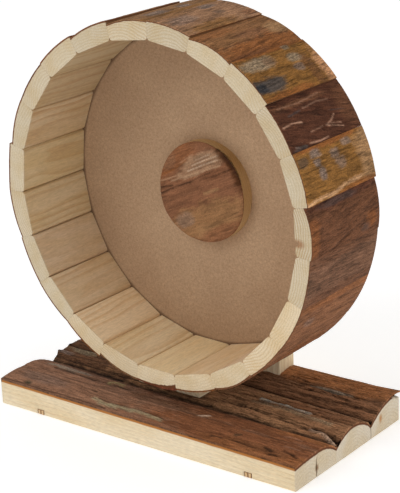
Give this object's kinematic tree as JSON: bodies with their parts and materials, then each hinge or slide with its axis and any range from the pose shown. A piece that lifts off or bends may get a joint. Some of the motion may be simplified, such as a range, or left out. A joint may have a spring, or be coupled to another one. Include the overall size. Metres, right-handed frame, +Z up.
{
  "type": "rodent exercise wheel",
  "caption": "Rodent exercise wheel: a drum of bark-edged wooden staves with a solid back, turning on ball bearings on an upright board over a base of bark-faced half logs.",
  "frame": {"origin": "middle of the base's underside, on the surface that the wheel stands on", "axes": "+Z up, the wheel turns about Y, and its open side faces -Y"},
  "size_m": [0.2948, 0.1468, 0.3303],
  "materials": {
    "bark_stave": "sawn pine inside and on the ends, natural bark outside",
    "bark_face": "natural bark face, sawn edge",
    "bark_strip": "natural bark on top, sawn pine at the sides and ends",
    "plain_pine": "sawn, untreated",
    "fibreboard": "smooth fibreboard",
    "bearing_steel": "ground",
    "zinc_steel": "zinc plated"
  },
  "bodies": {
    "stand": {"base_strip_front": "bark_strip", "base_strip_second": "bark_strip", "base_strip_third": "bark_strip", "base_strip_back": "bark_strip", "base_keys_left": "plain_pine", "base_keys_right": "plain_pine", "upright_board": "plain_pine", "upright_screws": "zinc_steel", "foot_board": "plain_pine", "foot_screws": "zinc_steel", "axle_bolt": "zinc_steel", "axle_front_washer": "zinc_steel", "bearing_spacer": "bearing_steel", "axle_rear_washers": "zinc_steel", "axle_nut_washer": "zinc_steel", "axle_lock_nut": "zinc_steel", "front_bearing_inner_race": "bearing_steel", "rear_bearing_inner_race": "bearing_steel"},
    "wheel": {"stave_01": "bark_stave", "stave_02": "bark_stave", "stave_03": "bark_stave", "stave_04": "bark_stave", "stave_05": "bark_stave", "stave_06": "bark_stave", "stave_07": "bark_stave", "stave_08": "bark_stave", "stave_09": "bark_stave", "stave_10": "bark_stave", "stave_11": "bark_stave", "stave_12": "bark_stave", "stave_13": "bark_stave", "stave_14": "bark_stave", "stave_15": "bark_stave", "stave_16": "bark_stave", "stave_17": "bark_stave", "stave_18": "bark_stave", "stave_19": "bark_stave", "stave_20": "bark_stave", "stave_21": "bark_stave", "stave_22": "bark_stave", "stave_23": "bark_stave", "back_panel": "fibreboard", "hub_disc": "bark_face", "hub_block": "plain_pine", "hub_screws": "zinc_steel", "front_bearing_outer_race": "bearing_steel", "front_bearing_shields": "bearing_steel", "rear_bearing_outer_race": "bearing_steel", "rear_bearing_shields": "bearing_steel"},
    "bearing_cages": {"front_bearing_balls": "bearing_steel", "front_bearing_cage": "bearing_steel", "rear_bearing_balls": "bearing_steel", "rear_bearing_cage": "bearing_steel"}
  },
  "joints": [
    {"name": "wheel_spin", "type": "hinge", "parent": "stand", "child": "wheel", "pos_m": [0, 0, 0.1833], "axis": [0, 1, 0], "continuous": true},
    {"name": "cage_spin", "type": "hinge", "parent": "stand", "child": "bearing_cages", "pos_m": [0, 0, 0.1833], "axis": [0, 1, 0], "continuous": true}
  ],
  "couplings": [
    {"joint": "cage_spin", "follows": "wheel_spin", "ratio": 0.628}
  ]
}
